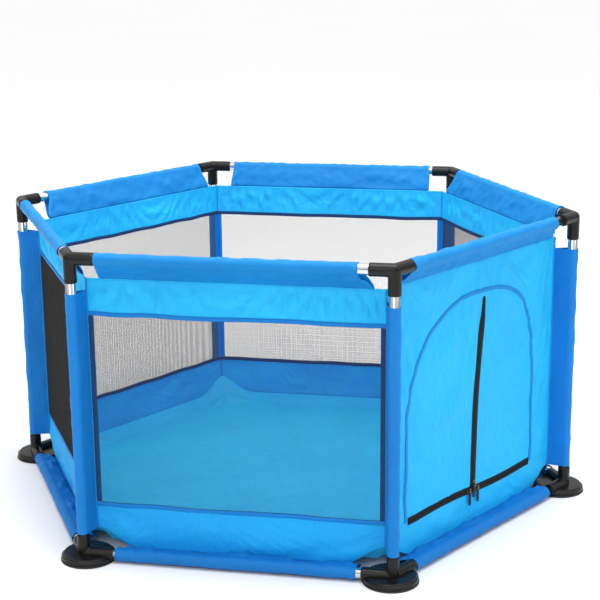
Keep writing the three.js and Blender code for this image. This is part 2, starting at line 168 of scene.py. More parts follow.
class PlaypenCover(bpy.types.PropertyGroup):
    cloth: FloatProperty(
        name="Cloth", description="Thickness of the cover's cloth", default=0.0008, unit="LENGTH"
    )
    wrinkle: FloatProperty(
        name="Wrinkles", description="Depth of the wrinkles in the walls", default=0.0030, unit="LENGTH"
    )
    pucker: FloatProperty(
        name="Seam pucker", description="Depth of the gathers along a seam", default=0.0009, unit="LENGTH"
    )
    blue: FloatVectorProperty(
        name="Cloth colour", description="Colour of the cover",
        default=(0.010, 0.430, 0.880), subtype="COLOR", size=3,
    )
    binding: FloatVectorProperty(
        name="Binding colour", description="Tape round the windows",
        default=(0.010, 0.045, 0.130), subtype="COLOR", size=3,
    )
    net_pitch: FloatProperty(
        name="Net pitch", description="Yarn to yarn in the net", default=0.0020, unit="LENGTH"
    )
    net_yarn: FloatProperty(name="Net yarn", description="Width of a yarn", default=0.00027, unit="LENGTH")
    net_depth: FloatProperty(
        name="Net depth", description="Depth of the net", default=0.00046, unit="LENGTH"
    )


class PlaypenFrame(bpy.types.PropertyGroup):
    round_steps: IntProperty(
        name="Roundness", description="Sides of a round tube", default=40, min=16, max=96
    )
    tube_wall: FloatProperty(
        name="Tube wall", description="Thickness of a tube's wall", default=0.0008, unit="LENGTH"
    )
    voxel: FloatProperty(
        name="Moulding grid", description="Grid of the moulded fittings", default=0.0010, unit="LENGTH"
    )


class PlaypenStage(bpy.types.PropertyGroup):
    turn: FloatProperty(
        name="Camera turn", description="Camera direction round the playpen",
        default=math.radians(11.35), subtype="ANGLE",
    )
    tilt: FloatProperty(
        name="Camera tilt", description="How far the camera looks down",
        default=math.radians(14.70), subtype="ANGLE",
    )
    roll: FloatProperty(
        name="Camera roll", description="Camera roll", default=math.radians(-0.57), subtype="ANGLE"
    )
    place: FloatVectorProperty(
        name="Camera place", description="Where the camera stands",
        default=(0.672, -3.210, 1.289), subtype="XYZ", size=3,
    )
    lens: FloatProperty(name="Lens", description="Focal length in millimetres", default=86.69)
    daylight: FloatProperty(name="Daylight", description="Strength of the surrounding light", default=1.25)


# ---- Making meshes ----------------------------------------------------------------------------


def new_object(name, points, faces, material, smooth=True):
    mesh = bpy.data.meshes.new(name)
    mesh.from_pydata([tuple(p) for p in points], [], [tuple(f) for f in faces])
    mesh.update()
    if smooth:
        mesh.polygons.foreach_set("use_smooth", [True] * len(mesh.polygons))
    made = bpy.data.objects.new(name, mesh)
    bpy.context.scene.collection.objects.link(made)
    made.data.materials.append(material)
    return made


def grid_faces(rows, columns, closed=False, first=0):
    """Quads of a grid of rows x columns points, joined round the columns if it's closed."""
    faces = []
    last = columns if closed else columns - 1
    for i in range(rows - 1):
        for j in range(last):
            a = first + i * columns + j
            b = first + i * columns + (j + 1) % columns
            faces.append((a, b, b + columns, a + columns))
    return faces


def cloth_grid(name, points, material, body=ROOT, rows_run_up=False):
    """A sheet of cloth from rows of points, with its own lengths along and up the side as a map."""
    rows, columns = points.shape[:2]
    faces = grid_faces(rows, columns)
    made = new_object(name, points.reshape(-1, 3), faces, material)
    step_r = np.linalg.norm(np.diff(points, axis=0), axis=2)
    step_c = np.linalg.norm(np.diff(points, axis=1), axis=2)
    down = np.vstack([np.zeros((1, columns)), np.cumsum(step_r, axis=0)]).mean(axis=1)
    down = np.repeat(down[:, None], columns, axis=1)
    over = np.hstack([np.zeros((rows, 1)), np.cumsum(step_c, axis=1)])
    lengths = np.stack([over, down] if rows_run_up else [down, over], axis=-1).reshape(-1, 2)
    layer = made.data.uv_layers.new(name="cloth")
    index = np.zeros(len(made.data.loops), np.int32)
    made.data.loops.foreach_get("vertex_index", index)
    layer.data.foreach_set("uv", lengths[index].ravel())
    if body is not None:
        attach(made, body)
    return made


def thicken(made, thickness, offset=0.0):
    solid = made.modifiers.new("Cloth", "SOLIDIFY")
    solid.thickness = thickness
    solid.offset = offset
    return made


def waves(x, y, seed, length, count=18, stretch=1.0):
    """Smooth uneven waves about one length long, from -1 to 1 or so, the same for a place each time."""
    dice = np.random.RandomState(seed)
    total = np.zeros(np.broadcast(x, y).shape)
    for _ in range(count):
        angle = dice.uniform(0, 2 * math.pi)
        pitch = length * dice.uniform(0.6, 1.8)
        phase = dice.uniform(0, 2 * math.pi)
        run = x * math.cos(angle) / stretch + y * math.sin(angle)
        total = total + np.sin(2 * math.pi * run / pitch + phase)
    return total / math.sqrt(count)


def ease(x):
    x = np.clip(x, 0, 1)
    return x * x * (3 - 2 * x)


def lathe(name, profile, steps, material, place=(0, 0, 0)):
    """A turned piece from (radius, height) pairs; a pair at radius 0 closes on the axis."""
    points, rings = [], []
    for radius, height in profile:
        if radius == 0:
            rings.append([len(points)])
            points.append((place[0], place[1], place[2] + height))
            continue
        rings.append(list(range(len(points), len(points) + steps)))
        for j in range(steps):
            angle = 2 * math.pi * j / steps
            x, y = radius * math.cos(angle), radius * math.sin(angle)
            points.append((place[0] + x, place[1] + y, place[2] + height))
    faces = []
    for low, high in zip(rings, rings[1:]):
        for j in range(steps):
            after = j + 1
            ring = [low[j % len(low)], low[after % len(low)], high[after % len(high)], high[j % len(high)]]
            face = [v for i, v in enumerate(ring) if v not in ring[:i]]
            if len(face) > 2:
                faces.append(face)
    return new_object(name, points, faces, material)


def moulded(name, arms, balls, material, voxel):
    """One moulding: round bars from point to point and balls, melted together with small fillets."""
    points, faces = [], []
    steps = 32
    for start, end, radius in arms:
        start, end = Vector(start), Vector(end)
        way = (end - start).normalized()
        cross = way.orthogonal().normalized()
        other = way.cross(cross)
        first = len(points)
        lip = 0.0011
        length = (end - start).length
        bevel = ((length - lip, radius), (length - lip * 0.3, radius - lip * 0.3), (length, radius - lip))
        for reach, r in ((0, radius), *bevel):
            for j in range(steps):
                angle = 2 * math.pi * j / steps
                points.append(start + way * reach + (cross * math.cos(angle) + other * math.sin(angle)) * r)
        faces += grid_faces(4, steps, closed=True, first=first)
        faces.append(tuple(reversed(range(first, first + steps))))
        faces.append(tuple(range(first + 3 * steps, first + 4 * steps)))
    made = new_object(name, points, faces, material)
    for at, radius in balls:
        bpy.ops.mesh.primitive_uv_sphere_add(segments=32, ring_count=16, radius=radius, location=at)
        ball = bpy.context.active_object
        with bpy.context.temp_override(active_object=made, selected_editable_objects=[made, ball]):
            bpy.ops.object.join()
    melt = made.modifiers.new("Melt", "REMESH")
    melt.mode = "VOXEL"
    melt.voxel_size = voxel
    melt.use_smooth_shade = True
    relax = made.modifiers.new("Fillet", "SMOOTH")
    relax.factor = 0.5
    relax.iterations = 6
    graph = bpy.context.evaluated_depsgraph_get()
    shaped = bpy.data.meshes.new_from_object(made.evaluated_get(graph))
    made.modifiers.clear()
    old, made.data = made.data, shaped
    bpy.data.meshes.remove(old)
    made.data.materials.clear()
    made.data.materials.append(material)
    made.data.name = name
    return made


# ---- Materials --------------------------------------------------------------------------------


class Nodes:
    """Short calls for building one material's nodes."""

    def __init__(self, name):
        self.material = bpy.data.materials.new(name)
        self.material.use_nodes = True
        self.tree = self.material.node_tree
        self.shader = self.tree.nodes["Principled BSDF"]

    def add(self, kind, **values):
        node = self.tree.nodes.new(kind)
        for key, value in values.items():
            if key in node.inputs and not hasattr(type(node), key):
                node.inputs[key].default_value = value
            else:
                setattr(node, key, value)
        return node

    def math(self, operation, a, b=None):
        node = self.add("ShaderNodeMath", operation=operation)
        for slot, value in enumerate((a, b)):
            if value is None:
                continue
            if isinstance(value, (int, float)):
                node.inputs[slot].default_value = value
            else:
                self.link(value, node.inputs[slot])
        return node.outputs[0]

    def link(self, out, into):
        self.tree.links.new(out, into)
        return out

    def ramp(self, factor, stops):
        node = self.add("ShaderNodeValToRGB")
        self.link(factor, node.inputs[0])
        elements = node.color_ramp.elements
        while len(elements) < len(stops):
            elements.new(0.5)
        for element, (place, colour) in zip(elements, stops):
            element.position = place
            element.color = (*colour, 1)
        return node.outputs[0]

    def noise(self, vector, scale, detail=3.0, rough=0.5):
        node = self.add("ShaderNodeTexNoise")
        node.inputs["Scale"].default_value = scale
        node.inputs["Detail"].default_value = detail
        node.inputs["Roughness"].default_value = rough
        self.link(vector, node.inputs["Vector"])
        return node.outputs["Fac"]

    def bump(self, height, strength, distance, before=None):
        node = self.add("ShaderNodeBump")
        node.inputs["Strength"].default_value = strength
        node.inputs["Distance"].default_value = distance
        self.link(height, node.inputs["Height"])
        if before is not None:
            self.link(before, node.inputs["Normal"])
        return node.outputs["Normal"]

    def place(self):
        return self.add("ShaderNodeTexCoord").outputs["Object"]

    def lengths(self):
        return self.add("ShaderNodeUVMap", uv_map="cloth").outputs["UV"]

    def stretched(self, scale):
        """The cloth's lengths multiplied by scale."""
        node = self.add("ShaderNodeMapping")
        node.inputs["Scale"].default_value = scale
        self.link(self.lengths(), node.inputs["Vector"])
        return node.outputs[0]

    def set(self, **values):
        for key, value in values.items():
            self.shader.inputs[key.replace("_", " ")].default_value = value


def shade(colour, factor):
    return tuple(min(1.0, c * factor) for c in colour)


def deeper(colour, red, green, blue):
    """The same dye with each channel sunk by its own share; for the sleeves and the low band the sinking is
    painted shade, on the sleeves partly for their doubled cloth.
    """
    return tuple(c * share for c, share in zip(colour, (red, green, blue)))


def weave(nodes, per_metre):
    """Height of a plain weave on the cloth's own lengths."""
    parts = nodes.add("ShaderNodeSeparateXYZ")
    nodes.link(nodes.lengths(), parts.inputs[0])
    across = nodes.math("SINE", nodes.math("MULTIPLY", parts.outputs[0], per_metre * 2 * math.pi))
    down = nodes.math("SINE", nodes.math("MULTIPLY", parts.outputs[1], per_metre * 2 * math.pi))
    return nodes.math("MULTIPLY", across, down)


def cloth_material(name, colour, roughness=0.58, sheen=0.02, thin=0.6):
    nodes = Nodes(name)
    place = nodes.place()
    broad = nodes.noise(place, 5.0, 2.0)
    fine = nodes.noise(place, 140.0, 3.0, 0.6)
    tone = nodes.math("ADD", nodes.math("MULTIPLY", broad, 0.75), nodes.math("MULTIPLY", fine, 0.25))
    tint = nodes.ramp(tone, [(0.25, shade(colour, 0.90)), (0.75, shade(colour, 1.10))])
    nodes.link(tint, nodes.shader.inputs["Base Color"])
    threads = nodes.bump(weave(nodes, 1600), 0.25, 0.00012)
    streaks = nodes.noise(nodes.stretched((34.0, 9.0, 1.0)), 1.0, 4.0, 0.6)
    folds = nodes.bump(streaks, 0.55, 0.0040, threads)
    crumple = nodes.bump(nodes.noise(place, 38.0, 5.0, 0.62), 0.45, 0.0028, folds)
    nodes.link(crumple, nodes.shader.inputs["Normal"])
    rough = nodes.math("ADD", nodes.math("MULTIPLY", fine, 0.12), roughness - 0.06)
    nodes.link(rough, nodes.shader.inputs["Roughness"])
    nodes.set(Sheen_Weight=sheen, Sheen_Roughness=0.35, Specular_IOR_Level=0.26)
    nodes.set(Subsurface_Weight=thin, Subsurface_Radius=(1.0, 1.0, 1.0), Subsurface_Scale=0.004)
    return nodes.material


def tape_material(name, colour):
    nodes = Nodes(name)
    place = nodes.place()
    tone = nodes.noise(place, 220.0, 3.0, 0.6)
    tint = nodes.ramp(tone, [(0.2, shade(colour, 0.75)), (0.8, shade(colour, 1.35))])
    nodes.link(tint, nodes.shader.inputs["Base Color"])
    ribs = nodes.add("ShaderNodeTexWave", wave_type="BANDS", bands_direction="Z")
    ribs.inputs["Scale"].default_value = 400.0
    ribs.inputs["Distortion"].default_value = 0.4
    nodes.link(place, ribs.inputs["Vector"])
    nodes.link(nodes.bump(ribs.outputs["Fac"], 0.3, 0.0002), nodes.shader.inputs["Normal"])
    nodes.set(Roughness=0.7, Sheen_Weight=0.02, Specular_IOR_Level=0.22)
    return nodes.material


def chrome_material():
    nodes = Nodes("bright chrome")
    place = nodes.place()
    smear = nodes.noise(place, 26.0, 4.0, 0.6)
    tint = nodes.ramp(smear, [(0.2, (0.60, 0.61, 0.63)), (0.8, (0.76, 0.77, 0.79))])
    nodes.link(tint, nodes.shader.inputs["Base Color"])
    rough = nodes.math("ADD", nodes.math("MULTIPLY", smear, 0.10), 0.05)
    nodes.link(rough, nodes.shader.inputs["Roughness"])
    drawn = nodes.noise(place, 600.0, 2.0)
    nodes.link(nodes.bump(drawn, 0.05, 0.00005), nodes.shader.inputs["Normal"])
    nodes.set(Metallic=1.0)
    return nodes.material


def plastic_material():
    nodes = Nodes("black moulding")
    place = nodes.place()
    cloud = nodes.noise(place, 60.0, 4.0, 0.6)
    tint = nodes.ramp(cloud, [(0.2, (0.0045, 0.0043, 0.0038)), (0.8, (0.0085, 0.0082, 0.0072))])
    nodes.link(tint, nodes.shader.inputs["Base Color"])
    rough = nodes.math("ADD", nodes.math("MULTIPLY", cloud, 0.16), 0.20)
    nodes.link(rough, nodes.shader.inputs["Roughness"])
    grain = nodes.noise(place, 900.0, 2.0)
    nodes.link(nodes.bump(grain, 0.12, 0.0001), nodes.shader.inputs["Normal"])
    nodes.set(Specular_IOR_Level=0.28)
    return nodes.material


def rubber_material():
    nodes = Nodes("black rubber")
    place = nodes.place()
    cloud = nodes.noise(place, 90.0, 4.0)
    tint = nodes.ramp(cloud, [(0.2, (0.008, 0.008, 0.008)), (0.8, (0.020, 0.020, 0.020))])
    nodes.link(tint, nodes.shader.inputs["Base Color"])
    nodes.link(nodes.bump(nodes.noise(place, 700.0), 0.2, 0.0001), nodes.shader.inputs["Normal"])
    nodes.set(Roughness=0.6)
    return nodes.material


def metal_material(name, dark, light, roughness):
    nodes = Nodes(name)
    place = nodes.place()
    worn = nodes.noise(place, 300.0, 4.0, 0.6)
    tint = nodes.ramp(worn, [(0.3, dark), (0.7, light)])
    nodes.link(tint, nodes.shader.inputs["Base Color"])
    rough = nodes.math("ADD", nodes.math("MULTIPLY", worn, 0.2), roughness)
    nodes.link(rough, nodes.shader.inputs["Roughness"])
    nodes.set(Metallic=1.0)
    return nodes.material


def yarn_material():
    nodes = Nodes("net yarn")
    place = nodes.place()
    tone = nodes.noise(place, 40.0, 3.0)
    tint = nodes.ramp(tone, [(0.2, (0.026, 0.023, 0.021)), (0.8, (0.042, 0.037, 0.034))])
    nodes.link(tint, nodes.shader.inputs["Base Color"])
    nodes.set(Roughness=0.85, Specular_IOR_Level=0.2)
    return nodes.material


def stage_material():
    nodes = Nodes("pale floor")
    place = nodes.place()
    tone = nodes.noise(place, 0.6, 2.0)
    tint = nodes.ramp(tone, [(0.2, (0.90, 0.90, 0.90)), (0.8, (0.92, 0.92, 0.92))])
    nodes.link(tint, nodes.shader.inputs["Base Color"])
    nodes.set(Roughness=0.9, Specular_IOR_Level=0.1)
    return nodes.material


MATERIALS = {}


# The shares of red, green and blue left in each piece of the cover, and how much light it lets through. The
# darker shares of the sleeves and the low band are painted shade on the one blue cloth, on the sleeves
# partly for their doubled cloth.
CLOTHS = {
    "cloth": ("blue polyester", (1.0, 1.0, 1.0), 0.6),
    "double": ("doubled blue polyester with painted shade", (0.16, 0.53, 0.70), 0.4),
    "low band": ("low blue polyester with painted shade", (0.60, 0.80, 0.86), 0.6),
    "tunnel": ("low sleeve polyester with painted shade", (0.15, 0.40, 0.60), 0.0),
    "post": ("upright sleeve polyester with painted shade", (0.20, 0.46, 0.68), 0.0),
    "seam": ("seam cloth", (0.20, 0.58, 0.74), 0.0),
    "hem": ("hem cloth", (0.08, 0.44, 0.66), 0.0),
}


def make_finish(name):
    """One material for the cloth, tape, net, frame or metal of that name."""
    cover = bpy.context.scene.playpen_cover
    if name in CLOTHS:
        label, shares, thin = CLOTHS[name]
        return cloth_material(label, deeper(cover.blue, *shares), thin=thin)
    makers = {
        "binding": lambda: tape_material("navy binding", tuple(cover.binding)),
        "zip": lambda: tape_material("zip tape", (0.010, 0.010, 0.012)),
        "coil": lambda: tape_material("zip coil", (0.014, 0.014, 0.016)),
        "thread": lambda: tape_material("sewing thread", deeper(cover.blue, 0.9, 0.62, 0.80)),
        "net": yarn_material,
        "chrome": chrome_material,
        "plastic": plastic_material,
        "rubber": rubber_material,
        "slider": lambda: metal_material("old brass", (0.16, 0.15, 0.10), (0.34, 0.32, 0.22), 0.28),
        "pull": lambda: metal_material("dark metal", (0.016, 0.016, 0.015), (0.045, 0.045, 0.042), 0.30),
    }
    return makers[name]()


def finish(name):
    """The finish of that name, made once."""
    if name not in MATERIALS:
        MATERIALS[name] = make_finish(name)
    return MATERIALS[name]


# ---- Frame ------------------------------------------------------------------------------------


def tube(name, start, end, node):
    """A hollow round tube with slightly broken edges, in place of its frame node."""
    settings = bpy.context.scene.playpen_frame
    start, end = Vector(start), Vector(end)
    length = (end - start).length
    inner = TUBE_R - settings.tube_wall
    edge = settings.tube_wall * 0.3
    profile = [
        (inner, 0), (TUBE_R - edge, 0), (TUBE_R, edge), (TUBE_R, length - edge),
        (TUBE_R - edge, length), (inner, length), (inner, 0),
    ]
    made = lathe(name, profile, settings.round_steps, finish("chrome"))
    turn = (end - start).to_track_quat("Z", "Y").to_matrix().to_4x4()
    made.data.transform(Matrix.Translation(start) @ turn)
    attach(made, ROOT)
    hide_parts(node)


def fitting_ways():
    return [Vector((-0.5, math.sqrt(3) / 2 * way, 0)) for way in (1, -1)]


def placed_at_corner(made, k, node):
    made.data.transform(Matrix.Rotation(math.radians(-60 + 60 * k), 4, "Z"))
    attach(made, ROOT)
    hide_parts(node)


class PLAYPEN_OT_tubes(bpy.types.Operator):
    """Make the upright tubes and the top and bottom rails"""

    bl_idname = "playpen.tubes"
    bl_label = "Tubes"

    def execute(self, context):
        for k, side in enumerate(SIDES):
            for level, z in (("top", TOP_Z), ("bottom", LOW_Z)):
                ends = on_side(k, np.array([-RAIL_HALF, RAIL_HALF]), APOTHEM, z)
                tube(f"{level}_tube_{side}", ends[0], ends[1], f"{level}_rail_{side}")
        for k, corner in enumerate(CORNERS):
            ends = at_corner(k, RADIUS, 0.0, np.array([POST_LOW, POST_HIGH]))
            tube(f"upright_tube_{corner}", ends[0], ends[1], f"post_{corner}")
        return {"FINISHED"}


class PLAYPEN_OT_top_fittings(bpy.types.Operator):
    """Make the three-way corner fittings on top"""

    bl_idname = "playpen.top_fittings"
    bl_label = "Top fittings"

    def execute(self, context):
        voxel = context.scene.playpen_frame.voxel
        centre = Vector((RADIUS, 0, TOP_Z))
        arms = [(centre, centre + way * 0.050, ARM_R) for way in fitting_ways()]
        arms.append((centre, centre - Vector((0, 0, 0.050)), ARM_R))
        first = moulded("top_corner", arms, [(centre, ARM_R)], finish("plastic"), voxel)
        for k, corner in enumerate(CORNERS):
            made = bpy.data.objects.new(f"top_corner_{corner}", first.data.copy())
            context.scene.collection.objects.link(made)
            placed_at_corner(made, k, f"top_fitting_{corner}")
        bpy.data.objects.remove(first)
        return {"FINISHED"}


class PLAYPEN_OT_feet(bpy.types.Operator):
    """Make the round bases with their sockets, and the suction cups under them"""

    bl_idname = "playpen.feet"
    bl_label = "Feet"

    def execute(self, context):
        voxel = context.scene.playpen_frame.voxel
        centre = Vector((RADIUS, 0, LOW_Z))
        arms = [(centre, centre + way * 0.064, ARM_R) for way in fitting_ways()]
        arms.append((centre, centre + Vector((0, 0, 0.040)), ARM_R))
        first = moulded("foot_sockets", arms, [(centre, ARM_R)], finish("plastic"), voxel)
        low, high = CUP_TOP + 0.0003, BASE_TOP
        plate = [
            (0, low), (0.0553, low), (0.0562, low + 0.0006), (0.0565, low + 0.002), (0.0565, high - 0.0062),
            (0.0562, high - 0.0050), (0.0552, high - 0.0042), (0.0538, high - 0.0040),
            (0.0531, high - 0.0036), (0.0528, high - 0.0026), (0.0524, high - 0.0012),
            (0.0514, high - 0.0003), (0.0500, high), (0, high),
        ]
        cup = [
            (0, 0.0015), (0.030, 0.0013), (0.046, 0.0006), (0.050, 0.0), (0.0575, 0.0), (0.058, 0.0005),
            (0.058, 0.0020), (0.0574, 0.0028), (0.0565, CUP_TOP), (0.006, CUP_TOP),
            (0.006, 0.0065), (0, 0.0065),
        ]
        for k, corner in enumerate(CORNERS):
            sockets = bpy.data.objects.new(f"foot_sockets_{corner}", first.data.copy())
            context.scene.collection.objects.link(sockets)
            placed_at_corner(sockets, k, f"foot_fitting_{corner}")
            base = lathe(f"foot_base_{corner}", plate, 96, finish("plastic"), (RADIUS - BASE_IN, 0, 0))
            placed_at_corner(base, k, f"foot_fitting_{corner}")
            sucker = lathe(f"foot_cup_{corner}", cup, 96, finish("rubber"), (RADIUS - BASE_IN, 0, 0))
            placed_at_corner(sucker, k, f"suction_cup_{corner}")
        bpy.data.objects.remove(first)
        return {"FINISHED"}


# ---- Cover ------------------------------------------------------------------------------------


def loop_profile(reach, rise, radius, flats=14, round_steps=26):
    """(outwards, up, share round) of a cloth loop round a tube at (reach, rise) from its seam at (0, 0).

    The loop leaves the seam on its inner side, goes over the tube and comes back on the outer side.
    """
    distance = math.hypot(reach, rise)
    lean = math.acos(radius / distance)
    towards_seam = math.atan2(-rise, -reach)
    side = 1 if rise >= 0 else -1
    start = towards_seam - side * lean
    sweep = -side * (2 * math.pi - 2 * lean)
    arc = [start + sweep * i / round_steps for i in range(round_steps + 1)]
    ring = [(reach + radius * math.cos(a), rise + radius * math.sin(a)) for a in arc]
    first = [(ring[0][0] * t, ring[0][1] * t) for t in np.linspace(0, 1, flats)[:-1]]
    last = [(ring[-1][0] * t, ring[-1][1] * t) for t in np.linspace(1, 0, flats)[1:]]
    line = np.array(first + ring + last)
    steps = np.concatenate([[0], np.cumsum(np.linalg.norm(np.diff(line, axis=0), axis=1))])
    return line, steps / steps[-1], steps[-1]


def loop_outward(line, centre):
    """The directions out of a loop, at each of its points."""
    tangent = np.gradient(line, axis=0)
    tangent /= np.linalg.norm(tangent, axis=1)[:, None]
    outward = np.stack([-tangent[:, 1], tangent[:, 0]], axis=1)
    sign = np.sign(((line - np.array(centre)) * outward).sum(axis=1))
    return outward * np.where(sign == 0, 1, sign)[:, None]


# How far from the corner each rail sleeve ends: (at the rail, at its seam) on the left, then the right.
TOP_ENDS = {
    "front": ((0.052, 0.050), (0.070, 0.044)),
    "door": ((0.050, 0.027), (0.084, 0.040)),
    "back_right": ((0.058, 0.050), (0.056, 0.046)),
    "back": ((0.058, 0.056), (0.064, 0.060)),
    "back_left": ((0.060, 0.052), (0.072, 0.054)),
    "front_left": ((0.066, 0.044), (0.066, 0.048)),
}
LOW_ENDS = {
    "front": ((0.070, 0.095), (0.074, 0.070)),
    "door": ((0.066, 0.040), (0.080, 0.110)),
    "back_right": ((0.078, 0.070), (0.070, 0.090)),
    "back": ((0.072, 0.080), (0.078, 0.070)),
    "back_left": ((0.078, 0.080), (0.072, 0.090)),
    "front_left": ((0.070, 0.085), (0.072, 0.070)),
}


def hem_relief(distance):
    """Raised double cloth for the last centimetre, with its row of stitches as a groove."""
    fold = 0.0005 * ease((0.0105 - distance) / 0.0008)
    stitch = -0.0006 * np.exp(-(((distance - 0.0098) / 0.0007) ** 2))
    return fold + stitch


def sleeve_points(k, seam_z, rail_z, ends, seed, puff):
    """Cloth loop round a rail of side k: rows along the side, columns round the loop.

    ends gives, for the left and the right end, how far from the corner the cloth ends at the rail
    and at its seam.
    """
    settings = bpy.context.scene.playpen_cover
    line, share, length = loop_profile(APOTHEM - WALL, rail_z - seam_z, SLEEVE_R)
    away = np.minimum(share, 1 - share) * length
    reach = math.hypot(APOTHEM - WALL, rail_z - seam_z)
    slope = ease(away / reach)
    left, right = (HALF_SIDE - (at_seam + (at_rail - at_seam) * slope) for at_rail, at_seam in ends)
    left = -left
    steps = np.concatenate([np.arange(0, 0.0135, 0.0009), [0.016, 0.020]])
    inner = np.linspace(0.026, 1, 60)
    rows = []
    for d in steps:
        rows.append(left + d)
    for t in inner[:-1]:
        low, high = left + 0.026, right - 0.026
        rows.append(low + (high - low) * (t - inner[0]) / (1 - inner[0]))
    rows.append(right - 0.026)
    for d in steps[::-1]:
        rows.append(right - d)
    u = np.array(rows)
    distance = np.minimum(u - left[None, :], right[None, :] - u)
    outward = loop_outward(line, (APOTHEM - WALL, rail_z - seam_z))
    across = share[None, :] * length
    swell = 0.5 + 0.5 * waves(u, across, seed + 1, 0.075, stretch=1.6)
    folds = waves(u + 0.5 * across, across, seed + 2, 0.040, stretch=0.8)
    creases = np.maximum(waves(u - 0.4 * across, across, seed + 4, 0.020, stretch=0.7), 0)
    near_seam = np.exp(-away / 0.012)[None, :]
    gathers = np.sin(u / 0.0105 * 2 * math.pi + 2 * waves(u, 0 * u, seed + 3, 0.05)) * near_seam
    flat = ease((0.95 - away / reach) / 0.3)[None, :]
    loose = puff * flat * (0.9 * swell + 0.6 * folds + 0.35 * creases)
    depth = settings.wrinkle * (0.22 * swell + 0.24 * folds + 0.16 * creases + loose)
    depth = np.maximum(depth, -0.0006) * ease(away / 0.010)[None, :]
    depth = depth + settings.pucker * 0.5 * gathers * ease(away / 0.003)[None, :]
    depth = depth + hem_relief(distance)
    out = WALL + line[:, 0][None, :] + depth * outward[:, 0][None, :]
    up = seam_z + line[:, 1][None, :] + depth * outward[:, 1][None, :]
    return on_side(k, u, out, up), length, float((right - left).mean())


def folds_between(u, z, low, high, seed, size):
    """Folds of a wall of cloth held at two heights: upright near the seams, slanting between."""
    settings = bpy.context.scene.playpen_cover
    edge = np.minimum(z - low, high - z)
    lean = z * np.sin(u * 9 + seed)
    soft = waves(u + lean, z, seed, size, stretch=0.9) * settings.wrinkle
    creases = waves(u - 1.2 * lean, z, seed + 5, size * 0.35, stretch=0.6) * settings.wrinkle * 0.26
    gathers = np.sin(u / 0.0125 * 2 * math.pi + 3.0 * waves(u, 0 * u, seed + 7, 0.05)) * settings.pucker
    near = 0.6 * np.exp(-edge / 0.010) + 0.4 * np.exp(-edge / 0.030)
    return (soft + creases) * ease(edge / 0.035) + gathers * near * ease((edge - 0.003) / 0.006)


def lower_edge(u):
    """Height of the wall's lower edge, which rises at both corners to clear the feet."""
    rise = ease((np.abs(u) - (WALL_HALF - 0.085)) / 0.085)
    return LOW_SEAM_Z + (CORNER_LOW - LOW_SEAM_Z) * rise


def band_points(k, low, high, seed, rows=26, size=0.09, bulge=0.0, cut=False):
    """A flat band of wall on side k between two heights."""
    u = np.linspace(-WALL_HALF, WALL_HALF, 170)[:, None]
    share = np.linspace(0, 1, rows)[None, :]
    level = low + (high - low) * share
    held = ease((WALL_HALF - np.abs(u)) / 0.02)
    relief = folds_between(u, level, low, high, seed, size) * held
    if cut:
        loose = ease((np.abs(u) - (WALL_HALF - 0.11)) / 0.04) * ease((0.6 - share) / 0.5)
        relief = relief * (1 - 0.92 * loose)
    swell = bulge * (0.75 + 0.25 * waves(u, level, seed + 9, 0.16)) * np.sin(math.pi * share) ** 0.8
    z = level + (lower_edge(u) - LOW_SEAM_Z) * (1 - share) if cut else level + 0 * u
    return on_side(k, u + 0 * level, WALL + relief + swell * ease((WALL_HALF - np.abs(u)) / 0.08), z)


def ribbon(name, path, across, width, thickness, material, body=ROOT, lift=None):
    """A flat tape along a path: across gives its sideways direction and lift its outward one."""
    path = np.asarray(path, float)
    half = width / 2
    rows = []
    for share, height in ((-1.0, 0.0), (-1.0, 1.0), (-0.5, 1.12), (0.5, 1.12), (1.0, 1.0), (1.0, 0.0)):
        rows.append(path + across * (half * share) + lift * (height * thickness))
    points = np.stack(rows, axis=1)
    made = new_object(name, points.reshape(-1, 3), grid_faces(len(path), 6, closed=True), material)
    n = len(path)
    mesh_faces = [tuple(range(6)), tuple(reversed(range((n - 1) * 6, n * 6)))]
    mesh = made.data
    all_faces = [tuple(p.vertices) for p in mesh.polygons] + mesh_faces
    points = [tuple(v.co) for v in mesh.vertices]
    mesh.clear_geometry()
    mesh.from_pydata(points, [], all_faces)
    mesh.polygons.foreach_set("use_smooth", [True] * len(mesh.polygons))
    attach(made, body)
    return made


def stitches(name, rows, body=ROOT, look="thread"):
    """Rows of small raised stitches: each row is a path and the way out of its cloth."""
    points, faces = [], []
    pitch, long, wide, high = 0.0037, 0.0013, 0.00028, 0.00032
    for path, lift in rows:
        path = np.asarray(path, float)
        run = np.concatenate([[0], np.cumsum(np.linalg.norm(np.diff(path, axis=0), axis=1))])
        for s in np.arange(pitch, run[-1] - pitch, pitch):
            at = np.array([np.interp(s, run, path[:, i]) for i in range(3)])
            ahead = np.array([np.interp(s + 0.0004, run, path[:, i]) for i in range(3)])
            go = (ahead - at) / np.linalg.norm(ahead - at)
            side = np.cross(lift, go)
            first = len(points)
            points += [at - go * long, at + go * long]
            for share in (-0.6, 0.6):
                end = at + go * long * share
                points += [end + side * wide * x + lift * high * h for x, h in ((-1, 0), (0, 1), (1, 0))]
            for j in range(3):
                a, b = first + 2 + j, first + 2 + (j + 1) % 3
                faces += [(first, b, a), (a, b, b + 3, a + 3), (first + 1, a + 3, b + 3)]
    made = new_object(name, points, faces, finish(look))
    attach(made, body)
    return made


def wall_stitches(k, side):
    """The stitching along the seams and hems of one side's wall."""
    lift = way_out(k)
    u = np.linspace(-WALL_HALF + 0.006, WALL_HALF - 0.006, 90)
    short = np.linspace(-WALL_HALF + 0.09, WALL_HALF - 0.09, 70)
    rows = [(on_side(k, u, WALL + 0.0006, SEAM_Z - 0.0036), lift)]
    rows.append((on_side(k, short, WALL + 0.0006, LOW_SEAM_Z + 0.0036), lift))
    rows.append((on_side(k, u, WALL - 0.0006, SEAM_Z - 0.0036), -lift))
    if k != DOOR:
        for z in (WINDOW_HIGH + 0.0030, WINDOW_LOW - 0.0030):
            rows.append((on_side(k, u, WALL + 0.0008 + 0.0012, z), lift))
    made = stitches(f"wall_stitching_{side}", rows)
    cover_piece(made, f"side_cover_{side}")


